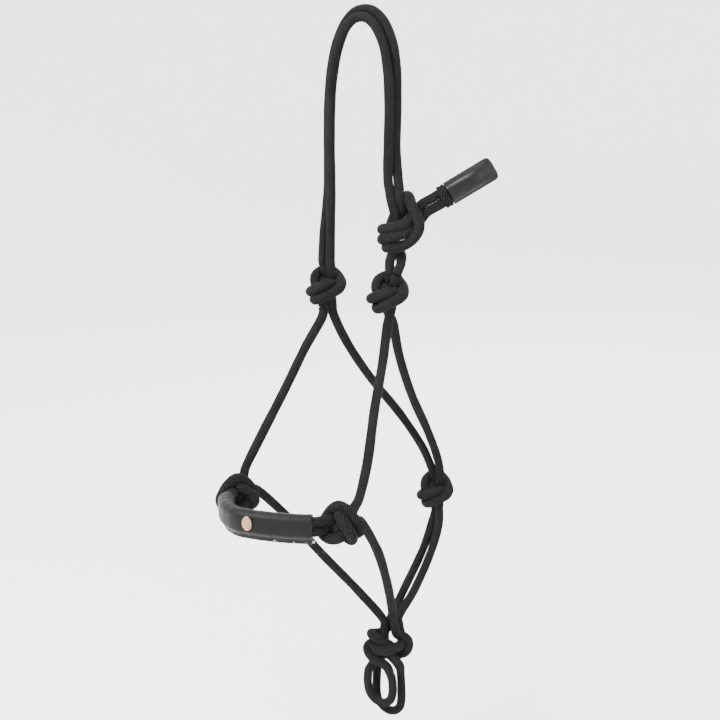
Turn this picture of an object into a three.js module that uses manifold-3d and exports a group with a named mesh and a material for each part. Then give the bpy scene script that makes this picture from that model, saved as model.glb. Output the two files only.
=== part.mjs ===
// Rope halter with a leather nose sleeve, in millimetres.
// The horse would face -Y with its left side on +X; +Z is up.
// The origin is where the crown rests on the poll: the underside of the crown rope at its top.
// One soft braided rope is knotted into the whole headpiece. Here it is divided where it enters
// and leaves each knot, so that every stretch and every knot is a solid of its own.
import * as THREE from 'three';
import { mergeVertices } from 'three/addons/utils/BufferGeometryUtils.js';
import Module from 'manifold-3d';

const wasm = await Module();
wasm.setup();

// ---------------------------------------------------------------- driving dimensions
const ROPE = 8; // diameter of the braided rope
const GAP = 0.3; // clearance between pieces that touch
const SIDES = 8; // faces round a rope
const STRETCH_STEP = 2.4; // length of one step along a free stretch, in rope diameters
const BEND_STEP = 1.3; // the same round the crown and the lead loops
const KNOT_STEP = 0.95; // the same inside a knot
const NEST = 0.93; // how close passes lie in a tight knot, in rope diameters

const CROWN_HALF = 34; // half the width between the crown's two legs
const CROWN_DROP = 205; // from the poll down to the line on which the crown folds
const CHEEK_KNOT_DROP = 20; // from that line down to the middle of a cheek knot
const NOSE_HALF = 59; // half the width between the nose knots
const NOSE_REACH = 100; // how far in front of the poll the nose knots hang
const NOSE_DROP = 399; // height of the nose knots below the poll
const THROAT_BACK = 126; // how far behind the poll the throat knot hangs
const THROAT_DROP = 444; // height of the throat knot below the poll
const FIADOR_BACK = 45; // the same two sizes for the fiador knot under the chin
const FIADOR_DROP = 583;
const TIE_DROP = 166; // height of the tie knot below the poll, on the horse's left
const TWIST = THREE.MathUtils.degToRad(38); // the two crown strands lie at this slant to each other

const NOSE_BULGE = 45; // how far the noseband stands in front of the nose knots
const NOSE_START = 23; // from the middle of a nose knot to where the noseband begins
const NOSE_INWARD = THREE.MathUtils.degToRad(30); // its slant towards the middle there
const SLEEVE_ROOM = 0.9; // clearance between the ropes and the leather round them
const LEATHER = 1.5; // thickness of the sleeves' leather
const WELT = 4.2; // depth of the stitched edge below the nose sleeve
const WELT_THICK = 3.2; // its two layers together
const SLEEVE_FROM = 0.03; // where the nose sleeve starts and ends along the noseband
const SLEEVE_TO = 0.985;
const BADGE_AT = 0.48; // place of the badge along the noseband
const BADGE_WIDE = 9;
const BADGE_TALL = 12;
const BADGE_THICK = 1.2;

const TAIL_RISE = THREE.MathUtils.degToRad(31); // slope of the tail
const TAIL_LENGTH = 17; // bare rope between the tie knot and the tail's collar
const COLLAR_LONG = 7;
const COLLAR_THICK = 1.3;
const TAIL_SLEEVE_LONG = 44;
const TAIL_IN_SLEEVE = 34; // how far the rope's two ends reach into the sleeve

const LOOP_HALF = 14; // half the spacing of one lead loop's two legs
const LOOP_APART = 14.6; // between the front and the rear loop
const FRONT_LOOP_LONG = 34; // from the fold line under the fiador to the loop's lowest point
const REAR_LOOP_LONG = 49;

const CHARCOAL = { color: 0x3c3c3e, roughness: 0.92, metalness: 0 };
const NOSE_LEATHER = { color: 0x2b2b2d, roughness: 0.5, metalness: 0 };
const TAIL_LEATHER = { color: 0x1e1e20, roughness: 0.35, metalness: 0 };
const ROSE_METAL = { color: 0xc9a48c, roughness: 0.35, metalness: 1 };

const PITCH = ROPE + GAP; // spacing of two strands that lie side by side
const RADIUS = ROPE / 2;
const vec = (x, y, z) => new THREE.Vector3(x, y, z);

const CHEEK_KNOT_Z = -CROWN_DROP - CHEEK_KNOT_DROP;
const FOLD_Y = -1; // the crown's fold line runs through here, from side to side

// ---------------------------------------------------------------- model
const halter = new THREE.Group();
halter.name = 'rope_halter';

function addPiece(name, geometry, look) {
  const mesh = new THREE.Mesh(geometry, new THREE.MeshStandardMaterial(look));
  mesh.name = name;
  halter.add(mesh);
}

// ---------------------------------------------------------------- solids
function asSolid(geometry) {
  const bare = geometry.clone();
  bare.deleteAttribute('normal');
  bare.deleteAttribute('uv');
  const merged = mergeVertices(bare, 1e-4);
  const vertProperties = new Float32Array(merged.attributes.position.array);
  const triVerts = new Uint32Array(merged.index.array);
  return new wasm.Manifold(new wasm.Mesh({ numProp: 3, vertProperties, triVerts }));
}

function asGeometry(solid) {
  const { numProp, vertProperties, triVerts } = solid.getMesh();
  const places = new Float32Array((vertProperties.length / numProp) * 3);
  for (let i = 0; i < places.length / 3; i += 1) {
    places.set(vertProperties.slice(i * numProp, i * numProp + 3), i * 3);
  }
  const geometry = new THREE.BufferGeometry();
  geometry.setAttribute('position', new THREE.BufferAttribute(places, 3));
  geometry.setIndex(Array.from(triVerts));
  return geometry;
}

function ropeSection() {
  const shape = new THREE.Shape();
  for (let i = 0; i < SIDES; i += 1) {
    const turn = ((i + 0.5) / SIDES) * 2 * Math.PI;
    const corner = [RADIUS * Math.cos(turn), RADIUS * Math.sin(turn)];
    if (i === 0) shape.moveTo(...corner);
    else shape.lineTo(...corner);
  }
  return shape;
}

// A tube of rope along points, with flat ends.
function ropeAlong(points, step) {
  const path = new THREE.CatmullRomCurve3(points, false, 'centripetal');
  const steps = Math.max(1, Math.round(path.getLength() / (step * ROPE)));
  return new THREE.ExtrudeGeometry(ropeSection(), { steps, extrudePath: path, bevelEnabled: false });
}

// The round end of a rope that folds on a line through its centre.
function roundEnd(centre) {
  const ball = new THREE.SphereGeometry(RADIUS, SIDES, SIDES - 2);
  ball.rotateX(Math.PI / 2);
  ball.translate(centre.x, centre.y, centre.z);
  return ball;
}

function stretch(points, roundAtStart, roundAtEnd, step = STRETCH_STEP) {
  const tube = ropeAlong(points, step);
  let solid = asSolid(tube);
  if (roundAtStart) solid = solid.add(asSolid(roundEnd(points[0])));
  if (roundAtEnd) solid = solid.add(asSolid(roundEnd(points[points.length - 1])));
  return asGeometry(solid);
}

// ---------------------------------------------------------------- tightening a knot
// A strand is a row of points in rope diameters. Tension draws the points straight, and passes
// that come closer than one diameter push each other apart, as rope does.
function spaced(strand, count = strand.length) {
  const along = [0];
  for (let i = 1; i < strand.length; i += 1) {
    along.push(along[i - 1] + strand[i].distanceTo(strand[i - 1]));
  }
  const total = along[along.length - 1];
  const out = [strand[0].clone()];
  for (let i = 1, j = 1; i < count - 1; i += 1) {
    const want = (total * i) / (count - 1);
    while (along[j] < want) j += 1;
    const share = (want - along[j - 1]) / (along[j] - along[j - 1]);
    out.push(strand[j - 1].clone().lerp(strand[j], share));
  }
  out.push(strand[strand.length - 1].clone());
  return out;
}

function pushApart(strands, near) {
  for (let a = 0; a < strands.length; a += 1) {
    for (let b = a; b < strands.length; b += 1) {
      const first = strands[a];
      const second = strands[b];
      const skip = Math.ceil((1.7 * near) / first[2].distanceTo(first[3]));
      for (let i = 1; i < first.length - 1; i += 1) {
        for (let j = a === b ? i + skip : 1; j < second.length - 1; j += 1) {
          const away = second[j].clone().sub(first[i]);
          const length = away.length();
          if (length < near && length > 0) {
            away.multiplyScalar((0.25 * (near - length)) / length);
            first[i].sub(away);
            second[j].add(away);
          }
        }
      }
    }
  }
}

function tighten(strands, rounds, { tension = 0.5, squeeze = 0, hold = 0, near = NEST } = {}) {
  const home = strands.map((strand) => strand.map((point) => point.clone()));
  for (let round = 0; round < rounds; round += 1) {
    strands.forEach((strand, s) => {
      const before = strand.map((point) => point.clone());
      for (let i = 1; i < strand.length - 1; i += 1) {
        const middle = before[i - 1].clone().add(before[i + 1]).multiplyScalar(0.5);
        strand[i].lerp(middle, tension);
        strand[i].x *= 1 - squeeze;
        strand[i].lerp(home[s][i], hold);
      }
    });
    for (let pass = 0; pass < 3; pass += 1) pushApart(strands, near);
    if (hold === 0 && round % 5 === 4) strands = strands.map((strand) => spaced(strand));
  }
  for (let pass = 0; pass < 12; pass += 1) pushApart(strands, near);
  return strands;
}

// ---------------------------------------------------------------- the doubled overhand knot
// Two strands run side by side through one overhand knot. Local x is the line of the rope.
function looseOverhand() {
  const size = 2.6; // how open the knot is before it is drawn up
  const count = 90;
  const reach = 11; // where the loose ends are held
  const middle = [];
  for (let i = 0; i < count; i += 1) {
    const t = -2.15 + (4.3 * i) / (count - 1);
    middle.push(vec(
      0.8 * size * (t ** 3 - 3 * t),
      0.55 * size * (t ** 4 - 4 * t ** 2 + 2),
      -0.125 * size * (t ** 5 - 10 * t),
    ));
  }
  const beside = (offset) => middle.map((point, i) => {
    const along = middle[Math.min(count - 1, i + 1)].clone().sub(middle[Math.max(0, i - 1)]);
    along.z = 0;
    along.normalize().multiplyScalar(offset);
    return vec(point.x - along.y, point.y + along.x, point.z);
  });
  return [-0.55, 0.55].map((offset) => spaced(
    [vec(-reach, 0.9 * offset, 0), ...beside(offset), vec(reach, 0.9 * offset, 0)],
  ));
}

const TIGHT_REACH = 2.9; // half the length of knot that is kept, in rope diameters
const TIGHT_POINTS = 56;
const OVERHAND = tighten(looseOverhand(), 1500, { squeeze: 0.012 }).map((strand) => {
  const middle = (strand[0].x + strand[strand.length - 1].x) / 2;
  const kept = strand.filter((point) => Math.abs(point.x - middle) < TIGHT_REACH);
  return spaced(kept, TIGHT_POINTS);
});

const STUB_SHORT = 5; // a knot's piece stops this far before the points its strands aim at
const FOLD_SHORT = RADIUS + GAP; // the same where the next strand's round end sits on the point

// Where a strand stops short of its anchor: the place, and the way it points out of the knot.
function cutEnd(strand, atStart, short) {
  const row = atStart ? strand.slice().reverse() : strand.slice();
  const anchor = row[row.length - 1];
  while (row.length > 2 && row[row.length - 1].distanceTo(anchor) < short) row.pop();
  const inner = row[row.length - 1];
  const place = anchor.clone().lerp(inner, short / anchor.distanceTo(inner));
  if (place.distanceTo(inner) < 0.15 * ROPE) row.pop();
  const back = row.findLast((point) => point.distanceTo(place) > KNOT_STEP * ROPE);
  const dir = place.clone().sub(back).normalize();
  row.push(place);
  return { row: atStart ? row.reverse() : row, end: { place, dir, anchor } };
}

// Strands that run from anchor to anchor, in millimetres, cut to where the knot's piece ends:
// shorts holds how far before its anchor each strand stops, where it enters and where it leaves.
function finishKnot(strands, shorts) {
  const knot = { rows: [], ins: [], outs: [] };
  strands.forEach((strand, s) => {
    const first = cutEnd(strand, true, shorts[s][0]);
    const last = cutEnd(first.row, false, shorts[s][1]);
    knot.rows.push(last.row);
    knot.ins.push(first.end);
    knot.outs.push(last.end);
  });
  return knot;
}

// The two anchors in the order that leaves the strands the least twisted.
function leastTwist(ends, anchors) {
  const [first, second] = anchors;
  const straight = ends[0].distanceTo(first) + ends[1].distanceTo(second);
  const crossed = ends[0].distanceTo(second) + ends[1].distanceTo(first);
  return straight <= crossed ? [first, second] : [second, first];
}

// The overhand knot at centre, with the rope entering from the two ins and leaving to the outs.
function overhandKnot({ centre, line, roll, ins, outs, shortIn = STUB_SHORT }) {
  const across = Math.abs(line.z) > 0.7 ? vec(1, 0, 0) : vec(0, 0, 1);
  const turn = new THREE.Matrix4().makeBasis(
    line.clone(),
    across.clone().addScaledVector(line, -across.dot(line)).normalize(),
    line.clone().cross(across).normalize(),
  );
  const spin = new THREE.Matrix4().makeRotationX(THREE.MathUtils.degToRad(roll));
  const rows = OVERHAND.map((strand) => strand.map(
    (point) => point.clone().applyMatrix4(spin).applyMatrix4(turn),
  ));
  const local = (anchor) => anchor.clone().sub(centre).divideScalar(ROPE);
  const froms = leastTwist(rows.map((row) => row[0]), ins.map(local));
  const tos = leastTwist(rows.map((row) => row[row.length - 1]), outs.map(local));
  const strands = rows.map(
    (row, s) => spaced([froms[s], ...row.slice(3, row.length - 3), tos[s]], row.length),
  );
  const tight = tighten(strands, 160, { tension: 0.3 });
  const placed = tight.map((strand) => strand.map(
    (point) => point.clone().multiplyScalar(ROPE).add(centre),
  ));
  const knot = finishKnot(placed, placed.map(() => [shortIn, STUB_SHORT]));
  const inOrder = (ends, anchors) => anchors.map(
    (anchor) => ends.find((end) => end.anchor.distanceTo(anchor) < 1e-6),
  );
  return { rows: knot.rows, ins: inOrder(knot.ins, ins), outs: inOrder(knot.outs, outs) };
}

// A knot whose strands follow hand-laid routes: [right, up, towards the viewer's side] in rope
// diameters from its centre, seen square to the crown's slant.
const RIGHT = vec(Math.cos(TWIST), Math.sin(TWIST), 0);
const TOWARDS = vec(Math.sin(TWIST), -Math.cos(TWIST), 0);
const UP = vec(0, 0, 1);
const placeFrom = (centre, [right, up, towards]) => centre.clone()
  .addScaledVector(RIGHT, right * ROPE)
  .addScaledVector(UP, up * ROPE)
  .addScaledVector(TOWARDS, towards * ROPE);

function laidKnot({ centre, routes, shorts }) {
  const strands = routes.map((route) => {
    const points = route.map((point) => (point.isVector3 ? point : placeFrom(centre, point)));
    const curve = new THREE.CatmullRomCurve3(points, false, 'centripetal');
    const count = Math.round(curve.getLength() / (0.4 * ROPE));
    return curve.getSpacedPoints(count).map((point) => point.sub(centre).divideScalar(ROPE));
  });
  const tight = tighten(strands, 60, { tension: 0.25, hold: 0.04 });
  const placed = tight.map((strand) => strand.map(
    (point) => point.clone().multiplyScalar(ROPE).add(centre),
  ));
  return finishKnot(placed, shorts);
}

// One solid: the knot's passes and the rope packed inside them.
function addKnot(name, knot, centre, core) {
  let solid = null;
  knot.rows.forEach((row) => {
    const count = Math.round((row.length * 0.36) / KNOT_STEP) + 1;
    const tube = asSolid(ropeAlong(spaced(row, Math.max(6, count)), KNOT_STEP));
    solid = solid ? solid.add(tube) : tube;
  });
  const ball = new THREE.SphereGeometry(1, SIDES, SIDES - 2);
  ball.scale(core.x, core.y, core.z);
  ball.translate(centre.x, centre.y, centre.z);
  solid = solid.add(asSolid(ball));
  const skins = solid.decompose(); // any pocket closed in between the passes is filled
  const outer = skins.reduce((most, skin) => (skin.volume() > most.volume() ? skin : most));
  addPiece(name, asGeometry(outer), CHARCOAL);
}

// ---------------------------------------------------------------- free stretches
// From one knot's cut end to the next one's. Each bend is [share of the way, then how far the
// rope hangs off the straight line there, in x, y and z].
function hangBetween(from, to, bends = [], lead = 6) {
  const start = from.place.clone().addScaledVector(from.dir, GAP);
  const stop = to.place.clone().addScaledVector(to.dir, GAP);
  const middle = bends.map(([share, x, y, z]) => start.clone().lerp(stop, share).add(vec(x, y, z)));
  return [
    start,
    start.clone().addScaledVector(from.dir, lead),
    ...middle,
    stop.clone().addScaledVector(to.dir, lead),
    stop,
  ];
}

// A strand that lies beside the middle line of a pair, on the side that turns from the way out
// of the arch towards the horse's back.
function besideLine(points, offset, slant) {
  const curve = new THREE.CatmullRomCurve3(points, false, 'centripetal');
  const count = Math.round(curve.getLength() / (1.6 * ROPE));
  const back = vec(0, 1, 0);
  return curve.getSpacedPoints(count).map((point, i) => {
    const tangent = curve.getTangentAt(i / count);
    const outward = tangent.clone().cross(back).normalize();
    const turn = slant(i / count);
    return point
      .addScaledVector(outward, offset * Math.cos(turn))
      .addScaledVector(back, offset * Math.sin(turn));
  });
}

// ---------------------------------------------------------------- places of the knots
const nearFold = (side) => vec(CROWN_HALF + 3 + side * PITCH / 2, FOLD_Y, -CROWN_DROP);
const farFold = (side) => vec(-CROWN_HALF - 3 + side * PITCH / 2, FOLD_Y, -CROWN_DROP);
const nearCheek = vec(CROWN_HALF, FOLD_Y - 1, CHEEK_KNOT_Z);
const farCheek = vec(-CROWN_HALF, FOLD_Y - 1, CHEEK_KNOT_Z);
const nearNose = vec(NOSE_HALF, -NOSE_REACH, -NOSE_DROP);
const farNose = vec(-NOSE_HALF, -NOSE_REACH, -NOSE_DROP);
const throat = vec(0, THROAT_BACK, -THROAT_DROP);
const fiador = vec(0, FIADOR_BACK, -FIADOR_DROP);
const tie = vec(CROWN_HALF + 4, FOLD_Y + 8, -TIE_DROP);
const DOWN = vec(0, 0, -1);
const beside = (centre, x, y, z) => centre.clone().add(vec(x, y, z));

// ---------------------------------------------------------------- knots
const nearCheekKnot = overhandKnot({
  centre: nearCheek, line: DOWN, roll: 0, shortIn: FOLD_SHORT,
  ins: [nearFold(-1), nearFold(1)],
  outs: [beside(nearCheek, 1.5, -4.5, -25), beside(nearCheek, -0.5, 4.5, -25)],
});
const farCheekKnot = overhandKnot({
  centre: farCheek, line: DOWN, roll: 0, shortIn: FOLD_SHORT,
  ins: [farFold(-1), farFold(1)],
  outs: [beside(farCheek, -2, -6, -24), beside(farCheek, 1.5, 4, -24)],
});
const throatKnot = overhandKnot({
  centre: throat, line: DOWN, roll: 0,
  ins: [beside(throat, -4.6, -4, 22), beside(throat, 4.6, -3, 22)],
  outs: [beside(throat, -4.1, 2.2, -22), beside(throat, 4.1, -2.2, -22)],
});
const noseLine = (side) => vec(-side * Math.sin(NOSE_INWARD), -Math.cos(NOSE_INWARD), 0);
const NOSE_STUB = 15.5; // how far the two strands reach out of the knot
const noseExit = (knot, side, level) => knot.clone()
  .addScaledVector(noseLine(side), NOSE_STUB + 5)
  .addScaledVector(UP, (level * PITCH) / 2);
const nearNoseKnot = overhandKnot({
  centre: nearNose, line: noseLine(1), roll: 0,
  ins: [beside(nearNose, 1, 20, 13), beside(nearNose, 0, 23, -5)],
  outs: [noseExit(nearNose, 1, 1), noseExit(nearNose, 1, -1)],
});
const farNoseKnot = overhandKnot({
  centre: farNose, line: noseLine(-1), roll: 0,
  ins: [beside(farNose, 0, 12, 19), beside(farNose, 0.5, 23, -4)],
  outs: [noseExit(farNose, -1, 1), noseExit(farNose, -1, -1)],
});

const legFold = (side, row) => vec(
  side * LOOP_HALF, FIADOR_BACK - 6 + (row * LOOP_APART) / 2, -FIADOR_DROP - 24,
);
const fiadorKnot = laidKnot({
  centre: fiador,
  shorts: [0, 1, 2, 3].map(() => [STUB_SHORT, FOLD_SHORT]),
  routes: [
    [[-0.55, 3.3, 0.3], [-0.5, 1.8, 0.2], [-0.4, 0.8, 0], [-0.1, 0, 0.6], [0.5, -0.6, 1.6],
      [1.1, -1.2, 2], [1.5, -1.9, 1.6], legFold(1, 1)],
    [[0.75, 3.3, 0.5], [0.75, 1.9, 0.4], [1.1, 1.1, -0.3], [1.9, 1.2, -0.5], [2.5, 0.6, 0.1],
      [2.5, -0.3, 0.6], [1.8, -0.9, 0.7], [0.9, -0.9, 0.2], [-0.2, -1, -0.6], [-1, -1.7, -1.1],
      legFold(-1, 1)],
    [[0.2, 3.3, -1], [0, 1.9, -1.1], [-0.5, 0.9, -1.6], [-1.6, 1, -1.3], [-2.3, 1.5, -0.5],
      [-2.2, 1.85, 0.4], [-1.3, 1.4, 1.1], [-0.4, 0.8, 1.2], [0.3, 0.1, 0.9], [0.2, -0.6, 0.3],
      [-0.6, -1.2, -0.2], [-1.7, -1.9, -0.2], legFold(-1, -1)],
    [[1.3, 3.3, -0.7], [1.25, 1.9, -0.9], [1.6, 0.9, -1.3], [2, 0.3, -0.6], [1.7, 0.5, 0.6],
      [0.9, 0.65, 1.6], [-0.3, 0.4, 2], [-1.3, 0, 1.6], [-1.8, 0.1, 0.7], [-1.7, 0.6, -0.2],
      [-2.4, 0.5, -0.4], [-2.7, -0.3, 0.2], [-2.2, -1.1, 0.9], [-1.2, -1.4, 1.4],
      [-0.2, -1.5, 1.6], legFold(1, -1)],
  ],
});

const tailDir = RIGHT.clone().multiplyScalar(Math.cos(TAIL_RISE))
  .addScaledVector(UP, Math.sin(TAIL_RISE));
const tailStack = RIGHT.clone().multiplyScalar(-Math.sin(TAIL_RISE))
  .addScaledVector(UP, Math.cos(TAIL_RISE));
const tailFold = (level) => placeFrom(tie, [2.5, 1.55, 0])
  .addScaledVector(tailStack, level * PITCH / 2);
const TIE_LOOP_LONG = 9; // bare legs of the tie loop, from the tie knot down to the fold
const tieKnot = laidKnot({
  centre: tie,
  shorts: [[STUB_SHORT, FOLD_SHORT], [STUB_SHORT, FOLD_SHORT], [TIE_LOOP_LONG, TIE_LOOP_LONG]],
  routes: [
    [[-1.25, 4, 0], [-0.9, 2.4, 0], [-0.45, 1.1, 0], [-0.5, 0, -0.2], [-0.9, -1.3, -0.9],
      [-1.9, -1.9, -0.6], [-2.3, -1.7, 0.3], [-1.5, -1.45, 1], [-0.2, -1.2, 1.2],
      [0.9, -0.85, 0.8], [1.6, -0.1, 0.2], tailFold(-1)],
    [[-0.15, 4, 0], [0.1, 2.4, 0], [0.3, 1.2, -0.1], [0.3, 0, -0.7], [-0.3, -0.7, -1.4],
      [-1.4, -0.9, -1.1], [-2, -0.7, -0.2], [-1.4, -0.4, 0.9], [0, -0.25, 1.2], [1, 0.2, 0.8],
      [1.5, 0.9, 0.3], tailFold(1)],
    [nearFold(-1), [-1.15, -4.1, 0.3], [-1.15, -3.3, 0.1], [-0.7, -2, -0.2], [-0.7, -0.3, -0.6], [-0.5, 1, -1],
      [0, 2.2, -1], [0.6, 3.2, -0.3], [0.9, 3, 0.5], [1.1, 1.8, 0.7], [1.7, 0.95, 0.9],
      [2.2, -0.1, 1.1], [1.7, -1.3, 1], [0.8, -2.2, 0.9], [-0.5, -2.6, 0.7], [-1.6, -2.6, 0],
      [-1.1, -2.5, -0.9], [-0.1, -2.9, -0.8], [0.4, -3.5, -0.05], [0.15, -4.2, 0.5], nearFold(1)],
  ],
});


const core = (x, y, z) => vec(x, y, z).multiplyScalar(ROPE);
addKnot('near_cheek_knot', nearCheekKnot, nearCheek, core(1.15, 1.15, 1.15));
addKnot('far_cheek_knot', farCheekKnot, farCheek, core(1.15, 1.15, 1.15));
addKnot('throat_knot', throatKnot, throat, core(1.15, 1.15, 1.15));
addKnot('near_nose_knot', nearNoseKnot, nearNose, core(1.15, 1.15, 1.15));
addKnot('far_nose_knot', farNoseKnot, farNose, core(1.3, 1.3, 1.3));
addKnot('fiador_knot', fiadorKnot, fiador, core(1.3, 1.3, 1));
addKnot('tie_knot', tieKnot, placeFrom(tie, [-0.2, -0.6, 0]), core(0.9, 0.9, 0.8));

// ---------------------------------------------------------------- crown and tie loop
// The pair's middle line, from the far fold over the poll and down to the tie knot.
const crownTop = RADIUS + (PITCH / 2) * Math.cos(TWIST);
const crownMiddle = [
  vec(-CROWN_HALF - 3, FOLD_Y, -CROWN_DROP),
  vec(-CROWN_HALF - 2.4, FOLD_Y, -CROWN_DROP + 22),
  vec(-CROWN_HALF, 0, -140),
  vec(-CROWN_HALF, 0, -100),
  vec(-CROWN_HALF, 1, -66),
  vec(-CROWN_HALF + 2, 2, -41),
  vec(-CROWN_HALF + 7, 3, -18.5),
  vec(-CROWN_HALF + 15.5, 3, -2.5),
  vec(-9.5, 3, crownTop - 2),
  vec(0, 3, crownTop),
  vec(9.5, 3, crownTop - 2),
  vec(CROWN_HALF - 15.5, 3, -2.5),
  vec(CROWN_HALF - 7, 3, -18.5),
  vec(CROWN_HALF - 2, 2, -41),
  vec(CROWN_HALF, 1, -66),
  vec(CROWN_HALF, 0, -100),
];
const SWAY = 0.3; // extra room between the two strands, as their bends differ
const CROWN_LEAD = 8; // how far the crown runs straight above the tie knot
function crownStrand(side, knotEnd) {
  const unwind = (share) => TWIST * THREE.MathUtils.smoothstep(share, 0.02, 0.22);
  const points = besideLine(crownMiddle, side * (PITCH / 2 + SWAY), unwind);
  const stop = knotEnd.place.clone().addScaledVector(knotEnd.dir, GAP);
  return [...points, stop.clone().addScaledVector(knotEnd.dir, CROWN_LEAD), stop];
}
addPiece('crown_rope_inner', stretch(crownStrand(-1, tieKnot.ins[0]), true, false, BEND_STEP), CHARCOAL);
addPiece('crown_rope_outer', stretch(crownStrand(1, tieKnot.ins[1]), true, false, BEND_STEP), CHARCOAL);

function tieLoopLeg(knotEnd) {
  const start = knotEnd.place.clone().addScaledVector(knotEnd.dir, GAP);
  const lead = start.clone().addScaledVector(knotEnd.dir, 3);
  return stretch([start, lead, knotEnd.anchor], false, true, BEND_STEP / 4);
}
addPiece('tie_loop_leg_inner', tieLoopLeg(tieKnot.ins[2]), CHARCOAL);
addPiece('tie_loop_leg_outer', tieLoopLeg(tieKnot.outs[2]), CHARCOAL);

// ---------------------------------------------------------------- cheek, throat and chin
const free = [
  ['near_cheek_rope', nearCheekKnot.outs[0], nearNoseKnot.ins[0],
    [[0.25, -1, 4, 0], [0.5, 0, 3, 0], [0.8, 1, 5, 0]]],
  ['near_throat_rope', nearCheekKnot.outs[1], throatKnot.ins[1],
    [[0.2, 3, -8, 0], [0.45, 1, -6, 0], [0.7, 0, 2, 0], [0.88, 0, 4, 0]]],
  ['far_cheek_rope', farCheekKnot.outs[0], farNoseKnot.ins[0],
    [[0.25, 0, 2, 0], [0.5, 0, 1, 0], [0.8, 0, -2, 0]]],
  ['far_throat_rope', farCheekKnot.outs[1], throatKnot.ins[0],
    [[0.18, 0, -9, 0], [0.38, 0, -7, 0], [0.65, 0, 4, 0], [0.86, 0, 6, 0]]],
  ['near_chin_rope', nearNoseKnot.ins[1], fiadorKnot.ins[1],
    [[0.25, 5, 6, 2], [0.5, 4, 7, 0], [0.8, -1, 6, 2]]],
  ['far_chin_rope', farNoseKnot.ins[1], fiadorKnot.ins[0],
    [[0.25, -5, 8, 6], [0.5, -5, 6, 6], [0.8, -3, 6, 5]]],
  ['far_drop_rope', throatKnot.outs[0], fiadorKnot.ins[2],
    [[0.2, -0.6, 12, 0], [0.42, -0.8, 15, 0], [0.75, -0.7, 7, 0]]],
  ['near_drop_rope', throatKnot.outs[1], fiadorKnot.ins[3],
    [[0.2, 0.6, 12, 0], [0.42, 0.8, 15, 0], [0.75, 0.7, 7, 0]]],
];
free.forEach(([name, from, to, bends]) => {
  addPiece(name, stretch(hangBetween(from, to, bends), false, false), CHARCOAL);
});

// ---------------------------------------------------------------- lead loops
function leadLoop(row, long) {
  const left = legFold(-1, row);
  const bend = LOOP_HALF + 1; // radius of the loop's round bottom
  const low = left.z - long + RADIUS + bend;
  const leg = [left, vec(-bend, left.y, left.z - 0.45 * (left.z - low)), vec(-bend, left.y, low)];
  const round = [-60, -30, 0, 30, 60].map((turn) => {
    const angle = THREE.MathUtils.degToRad(turn);
    return vec(bend * Math.sin(angle), left.y, low - bend * Math.cos(angle));
  });
  return [...leg, ...round, ...leg.map((point) => vec(-point.x, point.y, point.z)).reverse()];
}
addPiece('front_lead_loop', stretch(leadLoop(-1, FRONT_LOOP_LONG), true, true, BEND_STEP), CHARCOAL);
addPiece('rear_lead_loop', stretch(leadLoop(1, REAR_LOOP_LONG), true, true, BEND_STEP), CHARCOAL);

// ---------------------------------------------------------------- noseband
// Its middle line lies level, from one nose knot round the front to the other.
const nosePoint = (across, forward) => vec(
  across * NOSE_HALF, -NOSE_REACH - forward * NOSE_BULGE, -NOSE_DROP,
);
const noseMiddle = [
  nearNose.clone().addScaledVector(noseLine(1), NOSE_START),
  nosePoint(0.66, 0.575),
  nosePoint(0.42, 0.745),
  nosePoint(0.17, 0.88),
  nosePoint(-0.04, 0.965),
  nosePoint(-0.24, 1),
  nosePoint(-0.44, 0.93),
  nosePoint(-0.64, 0.77),
  nosePoint(-0.77, 0.59),
  farNose.clone().addScaledVector(noseLine(-1), NOSE_START),
];
const noseCurve = new THREE.CatmullRomCurve3(noseMiddle, false, 'centripetal');
const NOSE_STEPS = 20;
const raised = (points, up) => points.map((point) => beside(point, 0, 0, up));
function noseRope(level) {
  const path = new THREE.CatmullRomCurve3(raised(noseMiddle, (level * PITCH) / 2), false, 'centripetal');
  return new THREE.ExtrudeGeometry(ropeSection(), {
    steps: NOSE_STEPS, extrudePath: path, bevelEnabled: false,
  });
}
addPiece('nose_rope_upper', noseRope(1), CHARCOAL);
addPiece('nose_rope_lower', noseRope(-1), CHARCOAL);

// The leather is wrapped round both strands and its two edges are stitched together below.
// Section: first number down, second across.
function slot(radius, half) {
  const path = new THREE.Shape();
  path.moveTo(half, -radius);
  path.absarc(half, 0, radius, -Math.PI / 2, Math.PI / 2, false);
  path.absarc(-half, 0, radius, Math.PI / 2, 1.5 * Math.PI, false);
  return path;
}
const ROPE_BORE = RADIUS + SLEEVE_ROOM;
const SLEEVE_OUT = ROPE_BORE + LEATHER;
const noseSection = (() => {
  const edge = PITCH / 2 + SLEEVE_OUT + WELT;
  const half = WELT_THICK / 2;
  const turn = Math.asin(half / SLEEVE_OUT);
  const section = new THREE.Shape();
  section.moveTo(edge, -half);
  section.lineTo(edge, half);
  section.absarc(PITCH / 2, 0, SLEEVE_OUT, turn + 0.35, Math.PI / 2, false);
  section.absarc(-PITCH / 2, 0, SLEEVE_OUT, Math.PI / 2, 1.5 * Math.PI, false);
  section.absarc(PITCH / 2, 0, SLEEVE_OUT, 1.5 * Math.PI, 2 * Math.PI - turn - 0.35, false);
  section.closePath();
  section.holes.push(slot(ROPE_BORE, PITCH / 2));
  return section;
})();

function partOfCurve(curve, from, to, count) {
  const points = [];
  for (let i = 0; i <= count; i += 1) points.push(curve.getPointAt(from + ((to - from) * i) / count));
  return points;
}
const sleevePath = new THREE.CatmullRomCurve3(
  partOfCurve(noseCurve, SLEEVE_FROM, SLEEVE_TO, 14), false, 'centripetal',
);
addPiece('nose_sleeve', new THREE.ExtrudeGeometry(noseSection, {
  steps: NOSE_STEPS, extrudePath: sleevePath, bevelEnabled: false, curveSegments: 3,
}), NOSE_LEATHER);

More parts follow.
